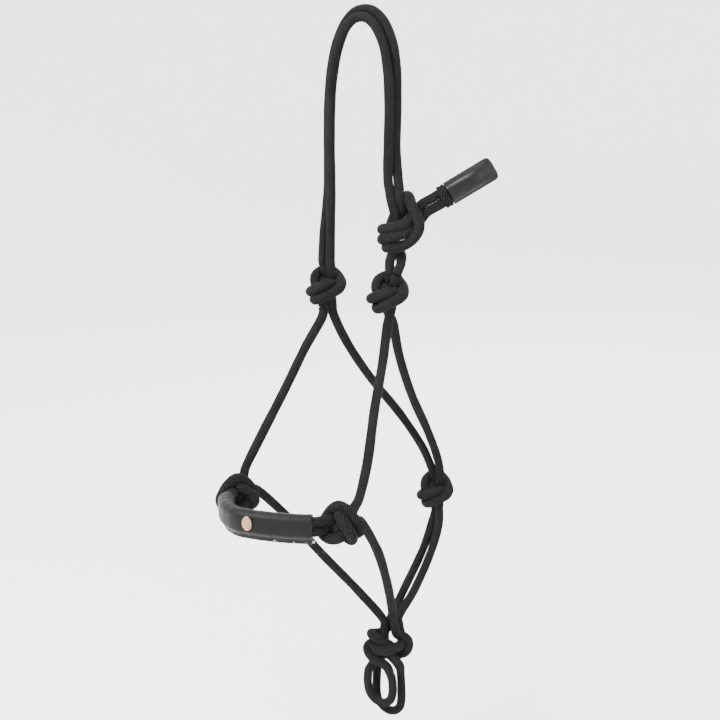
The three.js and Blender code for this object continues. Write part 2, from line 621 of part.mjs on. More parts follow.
// A plain oval plate with a raised rim, on the front of the sleeve.
function badge() {
  const rim = 0.9;
  const outline = new THREE.Shape();
  outline.absellipse(0, 0, BADGE_WIDE / 2, BADGE_TALL / 2, 0, 2 * Math.PI, false);
  const inner = new THREE.Shape();
  inner.absellipse(0, 0, BADGE_WIDE / 2 - rim, BADGE_TALL / 2 - rim, 0, 2 * Math.PI, false);
  const plate = new THREE.ExtrudeGeometry(outline, {
    depth: BADGE_THICK, bevelEnabled: false, curveSegments: 12,
  });
  const dish = new THREE.ExtrudeGeometry(inner, {
    depth: BADGE_THICK, bevelEnabled: false, curveSegments: 12,
  });
  dish.translate(0, 0, 0.7 * BADGE_THICK);
  const solid = asGeometry(asSolid(plate).subtract(asSolid(dish)));
  const place = noseCurve.getPointAt(BADGE_AT);
  const tangent = noseCurve.getTangentAt(BADGE_AT);
  const out = UP.clone().cross(tangent).normalize();
  const away = place.clone().addScaledVector(out, SLEEVE_OUT + GAP);
  const basis = new THREE.Matrix4().makeBasis(UP.clone().cross(out), UP.clone(), out);
  solid.applyMatrix4(basis);
  solid.translate(away.x, away.y, away.z + 1);
  return solid;
}
addPiece('badge', badge(), ROSE_METAL);

// ---------------------------------------------------------------- tail
// Both ends of the rope leave the tie knot one above the other and end inside the sleeve.
function tailStrand(level) {
  const start = tailFold(level);
  const points = [];
  const long = TAIL_LENGTH + TAIL_IN_SLEEVE;
  for (let i = 0; i <= 4; i += 1) points.push(start.clone().addScaledVector(tailDir, (long * i) / 4));
  return points;
}
addPiece('tail_rope_lower', stretch(tailStrand(-1), true, false), CHARCOAL);
addPiece('tail_rope_upper', stretch(tailStrand(1), true, false), CHARCOAL);

// A piece extruded along the tail, from a section whose first number runs up the stack.
function alongTail(section, from, long) {
  const solid = new THREE.ExtrudeGeometry(section, {
    depth: long, bevelEnabled: false, curveSegments: 6,
  });
  const start = tailFold(1).add(tailFold(-1)).multiplyScalar(0.5).addScaledVector(tailDir, from);
  const sideways = tailDir.clone().cross(tailStack);
  solid.applyMatrix4(new THREE.Matrix4().makeBasis(tailStack, sideways, tailDir));
  solid.translate(start.x, start.y, start.z);
  return solid;
}
function ring(outside, bore) {
  const section = slot(outside, PITCH / 2);
  section.holes.push(slot(bore, PITCH / 2));
  return section;
}
addPiece('tail_collar', alongTail(
  ring(ROPE_BORE + COLLAR_THICK, ROPE_BORE), TAIL_LENGTH, COLLAR_LONG,
), CHARCOAL);

function tailSleeve() {
  const from = TAIL_LENGTH + COLLAR_LONG + GAP;
  const outside = asSolid(alongTail(slot(SLEEVE_OUT, PITCH / 2), from, TAIL_SLEEVE_LONG));
  const hollow = TAIL_LENGTH + TAIL_IN_SLEEVE + GAP - from + 1;
  const bore = asSolid(alongTail(slot(ROPE_BORE, PITCH / 2), from - 1, hollow + 1));
  return asGeometry(outside.subtract(bore));
}
addPiece('tail_sleeve', tailSleeve(), TAIL_LEATHER);

export default halter;
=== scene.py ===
# Rope halter with a leather nose sleeve: every stretch of rope, knot, sleeve and stitch.
# Lengths here are in millimetres in the frame of the CAD model, and scaled when a mesh is made.
import math

import bpy
import numpy as np
from mathutils import Matrix


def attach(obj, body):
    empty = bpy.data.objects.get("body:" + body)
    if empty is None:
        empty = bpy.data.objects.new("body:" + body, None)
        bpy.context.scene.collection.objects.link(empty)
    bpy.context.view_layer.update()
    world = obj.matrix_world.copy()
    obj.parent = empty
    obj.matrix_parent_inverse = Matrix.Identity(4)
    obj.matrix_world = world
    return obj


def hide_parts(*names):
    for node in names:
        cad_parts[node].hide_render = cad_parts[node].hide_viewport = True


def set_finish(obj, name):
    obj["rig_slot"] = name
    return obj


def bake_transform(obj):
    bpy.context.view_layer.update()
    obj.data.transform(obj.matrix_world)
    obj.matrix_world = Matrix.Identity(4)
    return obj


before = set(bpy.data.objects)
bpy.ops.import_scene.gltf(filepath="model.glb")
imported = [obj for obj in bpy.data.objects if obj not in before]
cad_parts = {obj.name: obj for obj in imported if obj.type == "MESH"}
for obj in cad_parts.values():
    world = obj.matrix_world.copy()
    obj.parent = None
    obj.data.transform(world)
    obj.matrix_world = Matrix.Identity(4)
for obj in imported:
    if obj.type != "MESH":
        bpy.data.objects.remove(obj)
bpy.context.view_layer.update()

# ---------------------------------------------------------------- sizes
ROPE = 8.0  # the rope's thickness
RADIUS = ROPE / 2
GAP = 0.3  # room between two strands side by side
PITCH = ROPE + GAP
NEST = 0.93  # how close two passes lie in a knot, in rope diameters
KNOT_STEP = 0.95  # how far back a knot's end direction is taken, in rope diameters
CROWN_HALF = 34.0
CROWN_DROP = 205.0
NOSE_HALF = 59.0
NOSE_REACH = 100.0
NOSE_DROP = 399.0
THROAT_BACK = 126.0
THROAT_DROP = 444.0
FIADOR_BACK = 45.0
FIADOR_DROP = 583.0
TIE_DROP = 166.0
TWIST = math.radians(38)  # how far the crown's two strands turn round each other
NEAR_TWIST = math.radians(42)  # how much further they turn on the near side
NOSE_BULGE = 45.0
NOSE_START = 23.0
NOSE_STUB = 15.5
NOSE_INWARD = math.radians(30)
TAIL_RISE = math.radians(31)
TAIL_LENGTH = 17.0
COLLAR_LONG = 7.0
TAIL_SLEEVE_LONG = 44.0
LOOP_HALF = 14.0
LOOP_APART = 14.6
FRONT_LOOP_LONG = 34.0
REAR_LOOP_LONG = 49.0
CHEEK_KNOT_Z = -CROWN_DROP - 20.0
FOLD_Y = -1.0
STUB_SHORT = 5.0
FOLD_SHORT = RADIUS + GAP
TIE_LOOP_LONG = 9.0
SLEEVE_FROM = 0.014  # where the nose sleeve starts, as a share of the noseband
SLEEVE_TO = 0.985
BADGE_AT = 0.48
LIGHT_SEAM = (0.012, 0.34)
DARK_SEAM = (0.37, 0.975)
NOSE_STITCH_LONG = 2.7
NOSE_STITCH_APART = 4.1
KNOT_SWELL = 0.28  # how much fatter than the plain rope the rope of a knot is drawn
KNOT_PRESSED = 0.3  # and how much more away from the knot's ends


def vec(x, y, z):
    return np.array([x, y, z], dtype=float)


def unit(v):
    return v / np.linalg.norm(v)


# ---------------------------------------------------------------- curves
def spline(points, step):
    """Points at an even spacing along a centripetal Catmull-Rom curve."""
    p = np.array(points, dtype=float)
    p = np.vstack([2 * p[0] - p[1], p, 2 * p[-1] - p[-2]])
    gaps = np.maximum(np.linalg.norm(np.diff(p, axis=0), axis=1), 1e-6) ** 0.5
    w = np.linspace(0, 1, 24, endpoint=False)[:, None]
    rows = []
    for i in range(1, len(p) - 2):
        d0, d1, d2 = gaps[i - 1], gaps[i], gaps[i + 1]
        x0, x1, x2, x3 = p[i - 1], p[i], p[i + 1], p[i + 2]
        t1 = ((x1 - x0) / d0 - (x2 - x0) / (d0 + d1) + (x2 - x1) / d1) * d1
        t2 = ((x2 - x1) / d1 - (x3 - x1) / (d1 + d2) + (x3 - x2) / d2) * d1
        rows.append(x1 + t1 * w + (3 * (x2 - x1) - 2 * t1 - t2) * w**2
                    + (2 * (x1 - x2) + t1 + t2) * w**3)
    dense = np.vstack(rows + [p[-2][None]])
    long = length_of(dense)
    return spaced(dense, max(2, int(round(long / step)) + 1))


def length_of(points):
    return float(np.linalg.norm(np.diff(points, axis=0), axis=1).sum())


def spaced(points, count=None):
    count = count or len(points)
    along = np.concatenate([[0], np.cumsum(np.linalg.norm(np.diff(points, axis=0), axis=1))])
    want = np.linspace(0, along[-1], count)
    return np.stack([np.interp(want, along, points[:, k]) for k in range(3)], axis=1)


# ---------------------------------------------------------------- tightening a knot
def push_apart(strands, near, share):
    """Passes of rope that come closer than near push each other apart."""
    sizes = [len(s) for s in strands]
    every = np.vstack(strands)
    strand = np.repeat(np.arange(len(strands)), sizes)
    index = np.concatenate([np.arange(n) for n in sizes])
    step = np.linalg.norm(strands[0][3] - strands[0][2])
    skip = int(math.ceil(1.7 * near / step))
    fixed = (index == 0) | (index == np.array(sizes)[strand] - 1)
    offset = every[None] - every[:, None]
    apart = np.linalg.norm(offset, axis=2)
    hit = apart < near
    hit &= (strand[None] != strand[:, None]) | (np.abs(index[None] - index[:, None]) >= skip)
    hit &= ~fixed[None] & ~fixed[:, None]
    a, b = np.nonzero(hit)
    if len(a):
        away = offset[a, b] * (share * (near - apart[a, b]) / np.maximum(apart[a, b], 1e-6))[:, None]
        move = np.zeros_like(every)
        np.add.at(move, a, -away)
        every = every + move
    return np.split(every, np.cumsum(sizes)[:-1])


def tighten(strands, rounds, tension=0.5, squeeze=0.0, hold=0.0, near=NEST, share=0.16):
    """Draws strands up by turns of pulling straight and pushing apart. hold keeps them near home."""
    strands = [np.array(s) for s in strands]
    home = [s.copy() for s in strands]
    for turn in range(rounds):
        for s, strand in enumerate(strands):
            middle = 0.5 * (strand[:-2] + strand[2:])
            inner = strand[1:-1] + tension * (middle - strand[1:-1])
            inner[:, 0] *= 1 - squeeze
            strand[1:-1] = inner + hold * (home[s][1:-1] - inner)
        for _ in range(3):
            strands = push_apart(strands, near, share)
        if hold == 0 and turn % 5 == 4:
            strands = [spaced(s) for s in strands]
    for _ in range(16):
        strands = push_apart(strands, near, share)
    return strands


def loose_overhand():
    """A doubled overhand knot laid loose along x, in rope diameters."""
    size, count, reach = 2.6, 90, 11.0
    t = np.linspace(-2.15, 2.15, count)
    middle = np.stack([0.8 * size * (t**3 - 3 * t), 0.55 * size * (t**4 - 4 * t**2 + 2),
                       -0.125 * size * (t**5 - 10 * t)], axis=1)
    along = middle[np.minimum(np.arange(count) + 1, count - 1)]
    along = along - middle[np.maximum(np.arange(count) - 1, 0)]
    along[:, 2] = 0
    along /= np.linalg.norm(along, axis=1)[:, None]
    side = np.stack([-along[:, 1], along[:, 0], np.zeros(count)], axis=1)
    ends = [vec(-reach, 0, 0), vec(reach, 0, 0)]
    return [spaced(np.vstack([ends[0] + vec(0, 0.9 * f, 0), middle + f * side,
                              ends[1] + vec(0, 0.9 * f, 0)])) for f in (-0.55, 0.55)]


def tight_overhand():
    """The same drawn up, and cut where its ends leave it."""
    rows = []
    for strand in tighten(loose_overhand(), 1500, squeeze=0.012):
        middle = (strand[0][0] + strand[-1][0]) / 2
        rows.append(spaced(strand[np.abs(strand[:, 0] - middle) < 2.9], 56))
    return rows


OVERHAND = tight_overhand()


def cut_end(row, at_start, short):
    """A strand stopped short of its anchor, and where and which way it leaves the knot."""
    row = row[::-1].copy() if at_start else row.copy()
    anchor = row[-1].copy()
    while len(row) > 2 and np.linalg.norm(row[-1] - anchor) < short:
        row = row[:-1]
    place = anchor + (row[-1] - anchor) * short / np.linalg.norm(anchor - row[-1])
    if np.linalg.norm(place - row[-1]) < 0.15 * ROPE:
        row = row[:-1]
    far = [p for p in row if np.linalg.norm(p - place) > KNOT_STEP * ROPE]
    end = {"place": place, "dir": unit(place - far[-1]), "anchor": anchor}
    row = np.vstack([row, place])
    return (row[::-1] if at_start else row), end


def finish_knot(strands, shorts):
    """The rows of a knot, with each strand's end in and end out."""
    rows, ins, outs = [], [], []
    for strand, (short_in, short_out) in zip(strands, shorts):
        row, first = cut_end(strand, True, short_in)
        row, last = cut_end(row, False, short_out)
        rows.append(row)
        ins.append(first)
        outs.append(last)
    return {"rows": rows, "ins": ins, "outs": outs}


def least_twist(ends, anchors):
    """The anchors in the order that reaches the ends without crossing."""
    straight = np.linalg.norm(ends[0] - anchors[0]) + np.linalg.norm(ends[1] - anchors[1])
    crossed = np.linalg.norm(ends[0] - anchors[1]) + np.linalg.norm(ends[1] - anchors[0])
    return anchors if straight <= crossed else anchors[::-1]


def overhand_knot(centre, line, ins, outs, short_in=STUB_SHORT):
    """The tight overhand set down at centre along line, with its ends led to the anchors."""
    across = vec(1, 0, 0) if abs(line[2]) > 0.7 else vec(0, 0, 1)
    second = unit(across - line * across.dot(line))
    turn = np.stack([line, second, unit(np.cross(line, across))], axis=1)
    rows = [row @ turn.T for row in OVERHAND]
    froms = least_twist([r[0] for r in rows], [(a - centre) / ROPE for a in ins])
    tos = least_twist([r[-1] for r in rows], [(a - centre) / ROPE for a in outs])
    strands = [spaced(np.vstack([f, r[3:-3], t]), len(r)) for f, r, t in zip(froms, rows, tos)]
    placed = [s * ROPE + centre for s in tighten(strands, 160, tension=0.3)]
    knot = finish_knot(placed, [(short_in, STUB_SHORT)] * 2)
    for key, anchors in (("ins", ins), ("outs", outs)):
        knot[key] = [next(e for e in knot[key] if np.linalg.norm(e["anchor"] - a) < 1e-6)
                     for a in anchors]
    return knot


RIGHT = vec(math.cos(TWIST), math.sin(TWIST), 0)
TOWARDS = vec(math.sin(TWIST), -math.cos(TWIST), 0)
UP = vec(0, 0, 1)
DOWN = -UP


def place_from(centre, p):
    """p is to the camera's right, up, and towards the camera, in rope diameters."""
    return centre + (RIGHT * p[0] + UP * p[1] + TOWARDS * p[2]) * ROPE


def laid_knot(centre, routes, shorts):
    """A knot from routes given point by point, eased so that its passes clear each other."""
    strands = []
    for route in routes:
        points = [p if isinstance(p, np.ndarray) else place_from(centre, p) for p in route]
        strands.append((spline(points, 0.4 * ROPE) - centre) / ROPE)
    tight = tighten(strands, 60, tension=0.25, hold=0.04)
    return finish_knot([s * ROPE + centre for s in tight], shorts)


# ---------------------------------------------------------------- places of the knots
def near_fold(side):
    return vec(CROWN_HALF + 3 + side * PITCH / 2, FOLD_Y, -CROWN_DROP)


def far_fold(side):
    return vec(-CROWN_HALF - 3 + side * PITCH / 2, FOLD_Y, -CROWN_DROP)


near_cheek = vec(CROWN_HALF, FOLD_Y - 1, CHEEK_KNOT_Z)
far_cheek = vec(-CROWN_HALF, FOLD_Y - 1, CHEEK_KNOT_Z)
near_nose = vec(NOSE_HALF, -NOSE_REACH, -NOSE_DROP)
far_nose = vec(-NOSE_HALF, -NOSE_REACH, -NOSE_DROP)
throat = vec(0, THROAT_BACK, -THROAT_DROP)
fiador = vec(0, FIADOR_BACK, -FIADOR_DROP)
tie = vec(CROWN_HALF + 4, FOLD_Y + 8, -TIE_DROP)

near_cheek_knot = overhand_knot(
    near_cheek, DOWN, [near_fold(-1), near_fold(1)],
    [near_cheek + vec(1.5, -4.5, -25), near_cheek + vec(-0.5, 4.5, -25)], FOLD_SHORT)
far_cheek_knot = overhand_knot(
    far_cheek, DOWN, [far_fold(-1), far_fold(1)],
    [far_cheek + vec(-2, -6, -24), far_cheek + vec(1.5, 4, -24)], FOLD_SHORT)
throat_knot = overhand_knot(
    throat, DOWN, [throat + vec(-4.6, -4, 22), throat + vec(4.6, -3, 22)],
    [throat + vec(-4.1, 2.2, -22), throat + vec(4.1, -2.2, -22)])


def nose_line(side):
    return vec(-side * math.sin(NOSE_INWARD), -math.cos(NOSE_INWARD), 0)


def nose_exit(knot, side, level):
    return knot + nose_line(side) * (NOSE_STUB + 5) + UP * (level * PITCH / 2)


near_nose_knot = overhand_knot(
    near_nose, nose_line(1), [near_nose + vec(1, 20, 13), near_nose + vec(0, 23, -5)],
    [nose_exit(near_nose, 1, 1), nose_exit(near_nose, 1, -1)])
far_nose_knot = overhand_knot(
    far_nose, nose_line(-1), [far_nose + vec(0, 12, 19), far_nose + vec(0.5, 23, -4)],
    [nose_exit(far_nose, -1, 1), nose_exit(far_nose, -1, -1)])


def leg_fold(side, row):
    return vec(side * LOOP_HALF, FIADOR_BACK - 6 + row * LOOP_APART / 2, -FIADOR_DROP - 24)


fiador_knot = laid_knot(fiador, [
    [(-0.55, 3.3, 0.3), (-0.5, 1.8, 0.2), (-0.4, 0.8, 0), (-0.1, 0, 0.6), (0.5, -0.6, 1.6),
     (1.1, -1.2, 2), (1.5, -1.9, 1.6), leg_fold(1, 1)],
    [(0.75, 3.3, 0.5), (0.75, 1.9, 0.4), (1.1, 1.1, -0.3), (1.9, 1.2, -0.5), (2.5, 0.6, 0.1),
     (2.5, -0.3, 0.6), (1.8, -0.9, 0.7), (0.9, -0.9, 0.2), (-0.2, -1, -0.6), (-1, -1.7, -1.1),
     leg_fold(-1, 1)],
    [(0.2, 3.3, -1), (0, 1.9, -1.1), (-0.5, 0.9, -1.6), (-1.6, 1, -1.3), (-2.3, 1.5, -0.5),
     (-2.2, 1.85, 0.4), (-1.3, 1.4, 1.1), (-0.4, 0.8, 1.2), (0.3, 0.1, 0.9), (0.2, -0.6, 0.3),
     (-0.6, -1.2, -0.2), (-1.7, -1.9, -0.2), leg_fold(-1, -1)],
    [(1.3, 3.3, -0.7), (1.25, 1.9, -0.9), (1.6, 0.9, -1.3), (2, 0.3, -0.6), (1.7, 0.5, 0.6),
     (0.9, 0.65, 1.6), (-0.3, 0.4, 2), (-1.3, 0, 1.6), (-1.8, 0.1, 0.7), (-1.7, 0.6, -0.2),
     (-2.4, 0.5, -0.4), (-2.7, -0.3, 0.2), (-2.2, -1.1, 0.9), (-1.2, -1.4, 1.4),
     (-0.2, -1.5, 1.6), leg_fold(1, -1)],
], [(STUB_SHORT, FOLD_SHORT)] * 4)

tail_dir = RIGHT * math.cos(TAIL_RISE) + UP * math.sin(TAIL_RISE)
tail_stack = -RIGHT * math.sin(TAIL_RISE) + UP * math.cos(TAIL_RISE)


def tail_fold(level):
    return place_from(tie, (2.5, 1.55, 0)) + tail_stack * (level * PITCH / 2)


tie_knot = laid_knot(tie, [
    [(-1.25, 4, 0), (-0.9, 2.4, 0), (-0.45, 1.1, 0), (-0.5, 0, -0.2), (-0.9, -1.3, -0.9),
     (-1.9, -1.9, -0.6), (-2.3, -1.7, 0.3), (-1.5, -1.45, 1), (-0.2, -1.2, 1.2),
     (0.9, -0.85, 0.8), (1.6, -0.1, 0.2), tail_fold(-1)],
    [(-0.15, 4, 0), (0.1, 2.4, 0), (0.3, 1.2, -0.1), (0.3, 0, -0.7), (-0.3, -0.7, -1.4),
     (-1.4, -0.9, -1.1), (-2, -0.7, -0.2), (-1.4, -0.4, 0.9), (0, -0.25, 1.2), (1, 0.2, 0.8),
     (1.5, 0.9, 0.3), tail_fold(1)],
    [near_fold(-1), (-1.15, -4.1, 0.3), (-1.15, -3.3, 0.1), (-0.7, -2, -0.2),
     (-0.7, -0.3, -0.6), (-0.5, 1, -1), (0, 2.2, -1), (0.6, 3.2, -0.3), (0.9, 3, 0.5),
     (1.1, 1.8, 0.7), (1.7, 0.95, 0.9), (2.2, -0.1, 1.1), (1.7, -1.3, 1), (0.8, -2.2, 0.9),
     (-0.5, -2.6, 0.7), (-1.6, -2.6, 0), (-1.1, -2.5, -0.9), (-0.1, -2.9, -0.8),
     (0.4, -3.5, -0.05), (0.15, -4.2, 0.5), near_fold(1)],
], [(STUB_SHORT, FOLD_SHORT), (STUB_SHORT, FOLD_SHORT), (TIE_LOOP_LONG, TIE_LOOP_LONG)])

# ---------------------------------------------------------------- camera
camera_data = bpy.data.cameras.new("camera")
camera_data.lens = 56.2
camera_data.sensor_width = 36
camera = bpy.data.objects.new("camera", camera_data)
bpy.context.scene.collection.objects.link(camera)
bpy.context.scene.camera = camera


def aim(obj, place, target):
    """Turns obj at place so that it looks at target."""
    back = unit(np.array(place) - np.array(target))
    right = unit(np.cross(UP, back))
    up = np.cross(back, right)
    rows = [[right[i], up[i], back[i], place[i]] for i in range(3)] + [[0, 0, 0, 1]]
    obj.matrix_world = Matrix(rows)


aim(camera, (0.6011, -0.7693, -0.0726), (0, 0, -0.289))


# ---------------------------------------------------------------- materials
def material(name, roughness, color=(0.5, 0.5, 0.5), metallic=0.0):
    mat = bpy.data.materials.new(name)
    mat.use_nodes = True
    shader = mat.node_tree.nodes["Principled BSDF"]
    shader.inputs["Base Color"].default_value = (*color, 1)
    shader.inputs["Roughness"].default_value = roughness
    shader.inputs["Metallic"].default_value = metallic
    return mat


class Nodes:
    """Short words for building one material's nodes."""

    def __init__(self, mat):
        self.tree = mat.node_tree
        self.shader = self.tree.nodes["Principled BSDF"]

    def new(self, kind, **inputs):
        node = self.tree.nodes.new(kind)
        for key, value in inputs.items():
            self.put(node.inputs[key.replace("_", " ")], value)
        return node

    def put(self, socket, value):
        if isinstance(value, bpy.types.NodeSocket):
            self.tree.links.new(value, socket)
        else:
            socket.default_value = value

    def math(self, operation, first, second=0.0, third=0.0):
        node = self.tree.nodes.new("ShaderNodeMath")
        node.operation = operation
        for socket, value in zip(node.inputs, (first, second, third)):
            self.put(socket, value)
        return node.outputs[0]

    def ramp(self, value, stops):
        node = self.tree.nodes.new("ShaderNodeValToRGB")
        self.put(node.inputs["Fac"], value)
        band = node.color_ramp.elements
        while len(band) < len(stops):
            band.new(0.5)
        for element, (place, color) in zip(band, stops):
            element.position = place
            element.color = (*color, 1) if len(color) == 3 else color
        return node.outputs["Color"]

    def noise(self, scale, detail=3.0, rough=0.55, kind="ShaderNodeTexNoise"):
        place = self.tree.nodes.new("ShaderNodeTexCoord").outputs["Object"]
        return self.new(kind, Vector=place, Scale=scale, Detail=detail, Roughness=rough)

    def bump(self, height, strength, distance, normal=None):
        node = self.new("ShaderNodeBump", Height=height, Strength=strength, Distance=distance)
        if normal is not None:
            self.put(node.inputs["Normal"], normal)
        return node.outputs["Normal"]

    def shade(self, **sockets):
        for key, value in sockets.items():
            self.put(self.shader.inputs[key.replace("_", " ")], value)


AROUND = 24  # vertices round a rope, two to each plait
BRAID_STEP = 1.05  # from one ring of vertices to the next, half a plait


def braided(name, gap_shade, dark, light):
    """A tubular braid, with painted shade between its plaits and painted highlights on their crowns."""
    mat = material(name, 0.9)
    mat.node_tree.nodes["Principled BSDF"].inputs["Specular IOR Level"].default_value = 0.07
    n = Nodes(mat)
    uv = n.new("ShaderNodeUVMap")
    split = n.new("ShaderNodeSeparateXYZ", Vector=uv.outputs["UV"])
    across = n.math("MULTIPLY", split.outputs["X"], AROUND * math.pi)
    forth = n.math("MULTIPLY", split.outputs["Y"], math.pi * 2 * math.pi * RADIUS / BRAID_STEP)
    crown = n.math("MULTIPLY", n.math("COSINE", across), n.math("COSINE", forth))
    crown = n.math("ADD", n.math("MULTIPLY", crown, 0.5), 0.5)
    lay = n.math("ADD", n.math("MULTIPLY", across, 3.0), n.math("MULTIPLY", forth, 3.0))
    yarn = n.math("SINE", lay)
    worn = n.noise(45.0, 4.0).outputs["Fac"]
    fuzz = n.noise(700.0, 3.0).outputs["Fac"]
    # The tone is mostly the plait crown mask: painted shade in the gaps between plaits and painted
    # highlights on the crowns, with a faint painted shade between yarns; the fuzz and worn noise are a
    # random tone.
    tone = n.math("ADD", n.math("MULTIPLY", crown, 0.72), n.math("MULTIPLY", fuzz, 0.34))
    tone = n.math("ADD", tone, n.math("MULTIPLY", worn, 0.22))
    tone = n.math("ADD", n.math("SUBTRACT", tone, 0.14), n.math("MULTIPLY", yarn, 0.04))
    # First stop: painted shade in the gaps between plaits; last stop: painted highlight on the plait
    # crowns.
    color = n.ramp(tone, [(0.28, gap_shade), (0.6, dark), (0.95, light)])
    height = n.math("ADD", crown, n.math("MULTIPLY", yarn, 0.12))
    normal = n.bump(height, 0.8, 0.0005)
    normal = n.bump(fuzz, 0.3, 0.0003, normal)
    rough = n.math("ADD", 0.76, n.math("MULTIPLY", worn, 0.2))
    n.shade(Base_Color=color, Normal=normal, Roughness=rough)
    return mat


def leather(name, dark, light, roughness, grain, gloss):
    """Fine pores and creases, with painted shade in the low creases and faint lighter patches."""
    mat = material(name, roughness)
    mat.node_tree.nodes["Principled BSDF"].inputs["Specular IOR Level"].default_value = gloss
    n = Nodes(mat)
    place = n.tree.nodes.new("ShaderNodeTexCoord").outputs["Object"]
    cells = n.new("ShaderNodeTexVoronoi", Vector=place, Scale=1500.0)
    cells.feature = "DISTANCE_TO_EDGE"
    creases = n.noise(140.0, 6.0, 0.65).outputs["Fac"]
    patches = n.noise(45.0, 3.0).outputs["Fac"]
    pores = n.math("MINIMUM", n.math("MULTIPLY", cells.outputs["Distance"], 5.0), 1.0)
    height = n.math("ADD", n.math("MULTIPLY", pores, 0.5), creases)
    # The tone follows the crease height as well, so the low creases are darker: painted shade; the
    # patches are a random tone.
    tone = n.math("ADD", n.math("MULTIPLY", patches, 0.6), n.math("MULTIPLY", creases, 0.4))
    color = n.ramp(tone, [(0.3, dark), (0.7, light)])
    rough = n.math("ADD", roughness - 0.1, n.math("MULTIPLY", patches, 0.22))
    n.shade(Base_Color=color, Roughness=rough, Normal=n.bump(height, grain, 0.0004))
    return mat


def thread(name, dark, light):
    """Two-ply thread, with painted shade in the lay between its plies."""
    mat = material(name, 0.7)
    n = Nodes(mat)
    uv = n.new("ShaderNodeUVMap")
    split = n.new("ShaderNodeSeparateXYZ", Vector=uv.outputs["UV"])
    lay = n.math("ADD", n.math("MULTIPLY", split.outputs["X"], 2.0), split.outputs["Y"])
    strand = n.math("ABSOLUTE", n.math("SINE", n.math("MULTIPLY", lay, 3.14159)))
    # Darker where the plies dip into the lay: painted shade, following the bump.
    color = n.ramp(strand, [(0.0, dark), (1.0, light)])
    n.shade(Base_Color=color, Normal=n.bump(strand, 0.6, 0.0002))
    return mat


def brushed(name, dark, light):
    """Worn metal with fine marks."""
    mat = material(name, 0.3, metallic=1.0)
    n = Nodes(mat)
    marks = n.noise(500.0, 5.0, 0.7).outputs["Fac"]
    cloud = n.noise(160.0, 2.0).outputs["Fac"]
    color = n.ramp(cloud, [(0.3, dark), (0.7, light)])
    rough = n.math("ADD", 0.2, n.math("MULTIPLY", marks, 0.25))
    n.shade(Base_Color=color, Roughness=rough, Normal=n.bump(marks, 0.12, 0.0002))
    return mat


# The rope's first colour is painted shade between the plaits, its last a painted highlight on the plait
# crowns.
ROPE_LOOK = braided("charcoal_rope", (0.0006, 0.0006, 0.0006), (0.0055, 0.0055, 0.0057),
                    (0.040, 0.040, 0.0415))
NOSE_LOOK = leather("nose_leather", (0.0018, 0.0018, 0.0019), (0.0036, 0.0036, 0.0038), 0.4, 0.3, 0.11)
TAIL_LOOK = leather("tail_leather", (0.0010, 0.0010, 0.0011), (0.0022, 0.0022, 0.0023), 0.26, 0.15, 0.17)
# Each thread's first colour is the painted shade in the lay between its plies.
LIGHT_THREAD = thread("light_thread", (0.45, 0.43, 0.40), (0.72, 0.70, 0.66))
DARK_THREAD = thread("dark_thread", (0.002, 0.002, 0.002), (0.009, 0.009, 0.009))
BADGE_LOOK = brushed("rose_metal", (0.27, 0.15, 0.10), (0.42, 0.26, 0.19))


# ---------------------------------------------------------------- meshes
def make(name, verts, quads, uvs, mat, slot, tris=()):
    """A smooth mesh piece, from millimetres. uvs has one pair for each corner of each face."""
    mesh = bpy.data.meshes.new(name)
    verts = np.asarray(verts, dtype=np.float32) / 1000
    quads = np.asarray(quads, dtype=np.int32).reshape(-1, 4)
    tris = np.asarray(tris, dtype=np.int32).reshape(-1, 3)
    corners = np.concatenate([quads.ravel(), tris.ravel()])
    sizes = np.concatenate([np.full(len(quads), 4), np.full(len(tris), 3)]).astype(np.int32)
    mesh.vertices.add(len(verts))
    mesh.vertices.foreach_set("co", verts.ravel())
    mesh.loops.add(len(corners))
    mesh.loops.foreach_set("vertex_index", corners)
    mesh.polygons.add(len(sizes))
    starts = np.concatenate([[0], np.cumsum(sizes)[:-1]]).astype(np.int32)
    mesh.polygons.foreach_set("loop_start", starts)
    mesh.polygons.foreach_set("use_smooth", np.ones(len(sizes), dtype=bool))
    layer = mesh.uv_layers.new(name="UVMap")
    layer.data.foreach_set("uv", np.asarray(uvs, dtype=np.float32).ravel())
    mesh.update(calc_edges=True)
    mesh.validate()
    mesh.materials.append(mat)
    obj = bpy.data.objects.new(name, mesh)
    bpy.context.scene.collection.objects.link(obj)
    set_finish(obj, slot)
    return obj


def frames(points):
    """Tangents, and two directions square to them that turn as little as possible."""
    tangents = np.gradient(points, axis=0)
    tangents /= np.linalg.norm(tangents, axis=1)[:, None]
    lead = vec(0, 0, 1) if abs(tangents[0][2]) < 0.8 else vec(1, 0, 0)
    side = [unit(lead - tangents[0] * lead.dot(tangents[0]))]
    for t in tangents[1:]:
        side.append(unit(side[-1] - t * side[-1].dot(t)))
    side = np.array(side)
    return tangents, side, np.cross(tangents, side)


def grid(rows, columns):
    """Quads of a tube of rings, and the uv of each corner in ring and column numbers."""
    i, j = np.meshgrid(np.arange(rows - 1), np.arange(columns), indexing="ij")
    i, j = i.ravel(), j.ravel()
    k = (j + 1) % columns
    quads = np.stack([i * columns + j, i * columns + k, (i + 1) * columns + k,
                      (i + 1) * columns + j], axis=1)
    u = np.stack([j, j + 1, j + 1, j], axis=1)
    v = np.stack([i, i, i + 1, i + 1], axis=1)
    return quads, u, v


